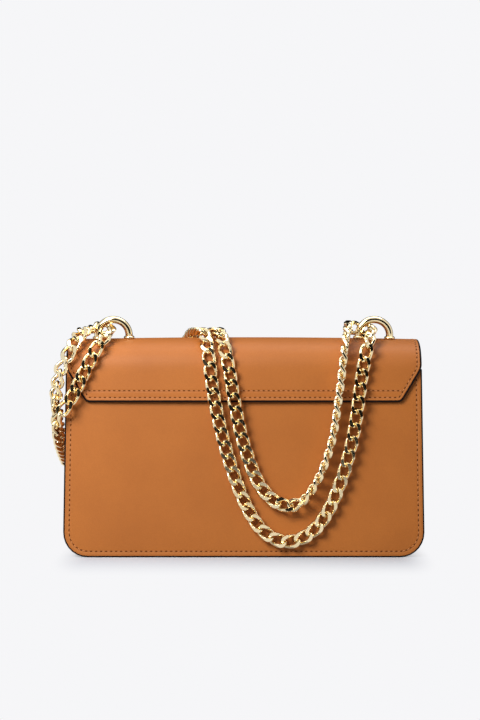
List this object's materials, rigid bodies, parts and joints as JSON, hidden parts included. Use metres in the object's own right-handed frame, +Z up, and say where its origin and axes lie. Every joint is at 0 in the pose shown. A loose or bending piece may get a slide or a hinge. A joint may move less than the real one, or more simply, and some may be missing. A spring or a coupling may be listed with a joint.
{
  "type": "crossbody bag",
  "caption": "Structured leather crossbody bag with a fold-over flap, half-ring metal arches on top and a long flat curb chain draped round it.",
  "frame": {"origin": "middle of the bag's footprint, on the ground under the panels' bottom edges; the footprint is that of the bag without its chain", "axes": "+X to the right when the back is looked at, +Y out of the front, where the flap closes, +Z up"},
  "size_m": [0.2679, 0.0918, 0.1738],
  "materials": {
    "tan_leather": "semi-gloss smooth leather, tan",
    "brown_lining": "matt brown microfibre",
    "grey_board": "raw fibreboard",
    "polished_gold": "polished, gold plated",
    "plain_steel": "plain"
  },
  "bodies": {
    "bag": {"back_panel": "tan_leather", "front_panel": "tan_leather", "gusset": "tan_leather", "flap_rear": "tan_leather", "lining": "brown_lining", "slip_pocket": "brown_lining", "base_board": "grey_board", "top_stiffener": "grey_board", "arch_left": "polished_gold", "arch_right": "polished_gold", "collar_left_left": "polished_gold", "collar_left_right": "polished_gold", "collar_right_left": "polished_gold", "collar_right_right": "polished_gold", "snap_socket": "polished_gold", "chain_outer_right": "polished_gold", "chain_outer_bottom": "polished_gold", "chain_outer_left": "polished_gold", "chain_outer_over": "polished_gold", "chain_front_upper": "polished_gold", "chain_end_outer": "polished_gold", "chain_arch_left": "polished_gold", "chain_end_inner": "polished_gold", "chain_front_corner": "polished_gold", "chain_front_lower": "polished_gold", "chain_inner_over": "polished_gold", "chain_inner_left": "polished_gold", "chain_inner_bottom": "polished_gold", "chain_inner_right": "polished_gold", "chain_arch_right": "polished_gold", "washer_left_left": "plain_steel", "washer_left_right": "plain_steel", "washer_right_left": "plain_steel", "washer_right_right": "plain_steel", "snap_magnet": "plain_steel", "snap_back_plate": "plain_steel"},
    "flap": {"flap_front": "tan_leather", "flap_lining": "brown_lining", "snap_stud": "polished_gold"}
  },
  "joints": [
    {"name": "flap", "type": "hinge", "parent": "bag", "child": "flap", "pos_m": [0, -0.00292, 0.1585], "axis": [1, 0, 0], "range_deg": [0, 95], "deforming": ["chain_outer_over", "chain_front_upper", "chain_end_outer", "chain_front_corner", "chain_front_lower", "chain_inner_over"]}
  ]
}
